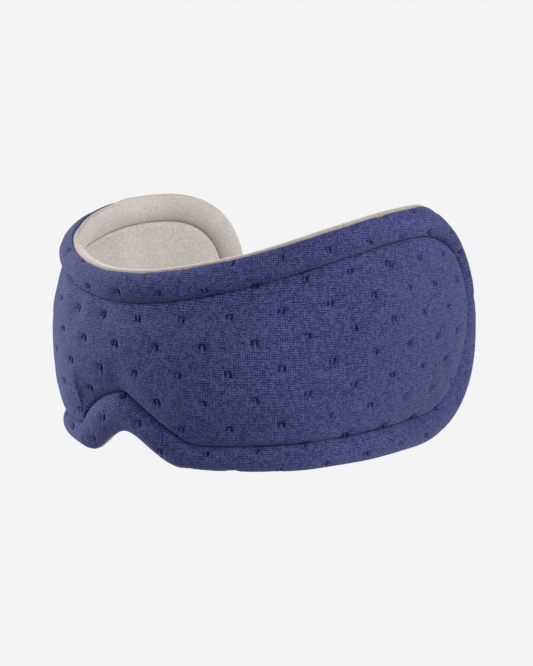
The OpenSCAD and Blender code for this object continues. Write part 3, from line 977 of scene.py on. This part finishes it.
def rounded_plate(length, width, radius, low, high):
    """Flat plate with round corners, from low to high in thickness."""
    corners = [(length - radius, width / 2 - radius), (radius, width / 2 - radius),
               (radius, radius - width / 2), (length - radius, radius - width / 2)]
    rim = []
    for quarter, (x, z) in enumerate(corners):
        for a in np.radians(90 * quarter + np.arange(0, 91, 15)):
            rim.append((x + radius * np.cos(a), z + radius * np.sin(a)))
    levels = ((low, 0.15), (low + 0.1, 0), (high - 0.1, 0), (high, 0.15))
    middle = np.array([length / 2, 0])
    points = []
    for y, inset in levels:
        for x, z in rim:
            px, pz = (x, z) + unit(middle - (x, z)) * inset
            points.append((px, y, pz))
    return np.array(points), tube_faces(len(levels), len(rim))


def make_hooks(nylon):
    """Hook tape: a thin plate with a field of small hooks that lean to either side by turns."""
    base = STRAP_T / 2
    points, faces = rounded_plate(TAB_LEN, 2 * TAB_HALF_W, 2.0, base, base + PLATE_T)
    parts, count = [points], len(points)
    angles = np.radians(np.linspace(0, 200, 7))
    level = np.array([[0, 0, 1.0]])
    for i, x in enumerate(np.arange(HOOK_MARGIN, TAB_LEN - HOOK_MARGIN, HOOK_STEP_X)):
        turn = 1 if i % 2 else -1
        for z in np.arange(-HOOK_FIELD_HALF_W, HOOK_FIELD_HALF_W + 0.1, HOOK_STEP_Z) + turn * HOOK_STAGGER:
            stem = [(0.0, 0.0), (0.0, 0.2)]
            hook = [(0.2 * (1 - np.cos(b)), 0.35 + 0.22 * np.sin(b)) for b in angles]
            route = np.array([(x + turn * p, base + 0.4 + h, z) for p, h in stem + hook])
            along = unit(np.gradient(route, axis=0))
            thick = np.linspace(0.13, 0.08, len(route))
            rings = tube_rings(route, thick, np.cross(along, level), level, HOOK_SIDES)
            parts.append(rings.reshape(-1, 3))
            faces += tube_faces(len(route), HOOK_SIDES, count)
            count += rings.shape[0] * rings.shape[1]
    piece = new_object("hook_tape", on_tab(np.concatenate(parts)), faces, flip=True, material=nylon)
    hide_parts("hook_tab")
    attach(piece, "strap")


def make_box_stitches(navy):
    """The box of stitches with its two diagonals that holds the hook tape."""
    near, far, high = TAB_SEAM_INSET, TAB_LEN - TAB_SEAM_INSET, TAB_HALF_W - TAB_SEAM_INSET
    a, b, c, d = np.array([[near, -high], [far, -high], [far, high], [near, high]])
    parts, all_faces, count = [], [], 0
    for start, end in ((a, b), (b, c), (c, d), (d, a), (a, c), (d, b)):
        flat = np.linspace(start, end, 30)
        behind = np.full(len(flat), -STRAP_T / 2 - 0.05)
        line = on_tab(np.stack([flat[:, 0], behind, flat[:, 1]], -1))
        out = np.tile(-tab_axes()[2], (len(line), 1))
        points, faces = stitches(line, out, length=1.7, spacing=2.1, radius=0.22, sink=0.15)
        parts.append(points)
        all_faces += [tuple(k + count for k in f) for f in faces]
        count += len(points)
    piece = new_object("tab_box_stitches", np.concatenate(parts), all_faces, flip=True, material=navy)
    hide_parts("tab_stitching")
    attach(piece, "strap")


# ---- Stage ----
def make_stage():
    """Pale floor that curves up into a backdrop all round, so that no horizon shows."""
    radius, corner, height, gap, turns, steps = 2.2, 1.2, 3.2, 0.0002, 96, 16
    profile = [(0.0, 0.0), (radius, 0.0)]
    for t in np.linspace(0, np.pi / 2, steps)[1:]:
        profile.append((radius + corner * np.sin(t), corner * (1 - np.cos(t))))
    profile.append((radius + corner, height))
    points = [(r * np.cos(a), r * np.sin(a), z - gap) for r, z in profile
              for a in np.linspace(0, 2 * np.pi, turns, endpoint=False)]
    mesh = bpy.data.meshes.new("floor")
    mesh.from_pydata(points, [], ring_faces(len(profile), turns))
    mesh.polygons.foreach_set("use_smooth", [True] * len(mesh.polygons))
    material, tree, shader = node_tree("pale_paper")
    connect(tree, shader, {
        "Base Color": (0.002, 0.002, 0.002, 1),
        "Emission Color": (1, 1, 1, 1),
        "Emission Strength": 0.903,
        "Roughness": 0.9,
        "Specular IOR Level": 0.0,
    })
    mesh.materials.append(material)
    floor = bpy.data.objects.new("floor", mesh)
    bpy.context.scene.collection.objects.link(floor)


def area_light(name, place, target, size, power):
    data = bpy.data.lights.new(name, "AREA")
    data.shape = "DISK"
    data.size = size
    data.energy = power
    light = bpy.data.objects.new(name, data)
    light.location = place
    light.visible_camera = False
    light.rotation_euler = (Vector(target) - Vector(place)).to_track_quat("-Z", "Y").to_euler()
    bpy.context.scene.collection.objects.link(light)


def make_lights():
    world = bpy.data.worlds.new("studio")
    world.use_nodes = True
    background = world.node_tree.nodes["Background"]
    connect(world.node_tree, background, {"Color": (1, 1, 1, 1), "Strength": 0.5})
    bpy.context.scene.world = world
    middle = (0, 0, 0.05)
    area_light("key", (1.3, 0.0, 0.8), middle, size=1.0, power=24)
    area_light("fill", (-1.0, -0.3, 0.4), middle, size=0.6, power=19)


def make_camera():
    """The camera looks along the photograph's line: 40 degrees to the wearer's left and slightly down."""
    azimuth, elevation, distance = np.radians(40.15), np.radians(8.5), 0.579
    target = Vector((0.0028, 0.00475, 0.0411))
    level = np.cos(elevation)
    back = Vector((np.sin(azimuth) * level, -np.cos(azimuth) * level, np.sin(elevation)))
    data = bpy.data.cameras.new("camera")
    data.lens = 73.5
    data.sensor_width = 36
    camera = bpy.data.objects.new("camera", data)
    camera.location = target + back * distance
    camera.rotation_euler = (-back).to_track_quat("-Z", "Y").to_euler()
    bpy.context.scene.collection.objects.link(camera)
    bpy.context.scene.camera = camera


navy = thread_material("navy_thread", (0.008, 0.008, 0.04), (0.022, 0.023, 0.1))
beige = thread_material("beige_thread", (0.2, 0.18, 0.15), (0.36, 0.33, 0.29))
pale = thread_material("suede_thread", (0.42, 0.39, 0.35), (0.55, 0.52, 0.48))

puff = puffed(column_places(3.2), np.linspace(0, 1, 7)[:-1], np.linspace(0, 1, 13))
# A power on a skin's rows brings them closer together beside the quilting seam.
roll_rows = both_ends(np.linspace(0, 1, 35)[:-1])
make_skin("knit_cover", "cover", 1, column_places(0.95, 0.335), roll_rows, np.linspace(0, 1, 66) ** 1.3,
          puff, knit_material())
make_skin("suede_lining", "lining", -1, column_places(1.5), roll_rows, np.linspace(0, 1, 40) ** 1.5,
          puff, suede_material())
make_foam(puff, foam_material())
make_threads(navy, beige, pale)
make_strap(elastic_material())
make_hooks(nylon_material())
make_box_stitches(navy)
make_stage()
make_lights()
make_camera()
bpy.context.scene.view_settings.view_transform = "Standard"
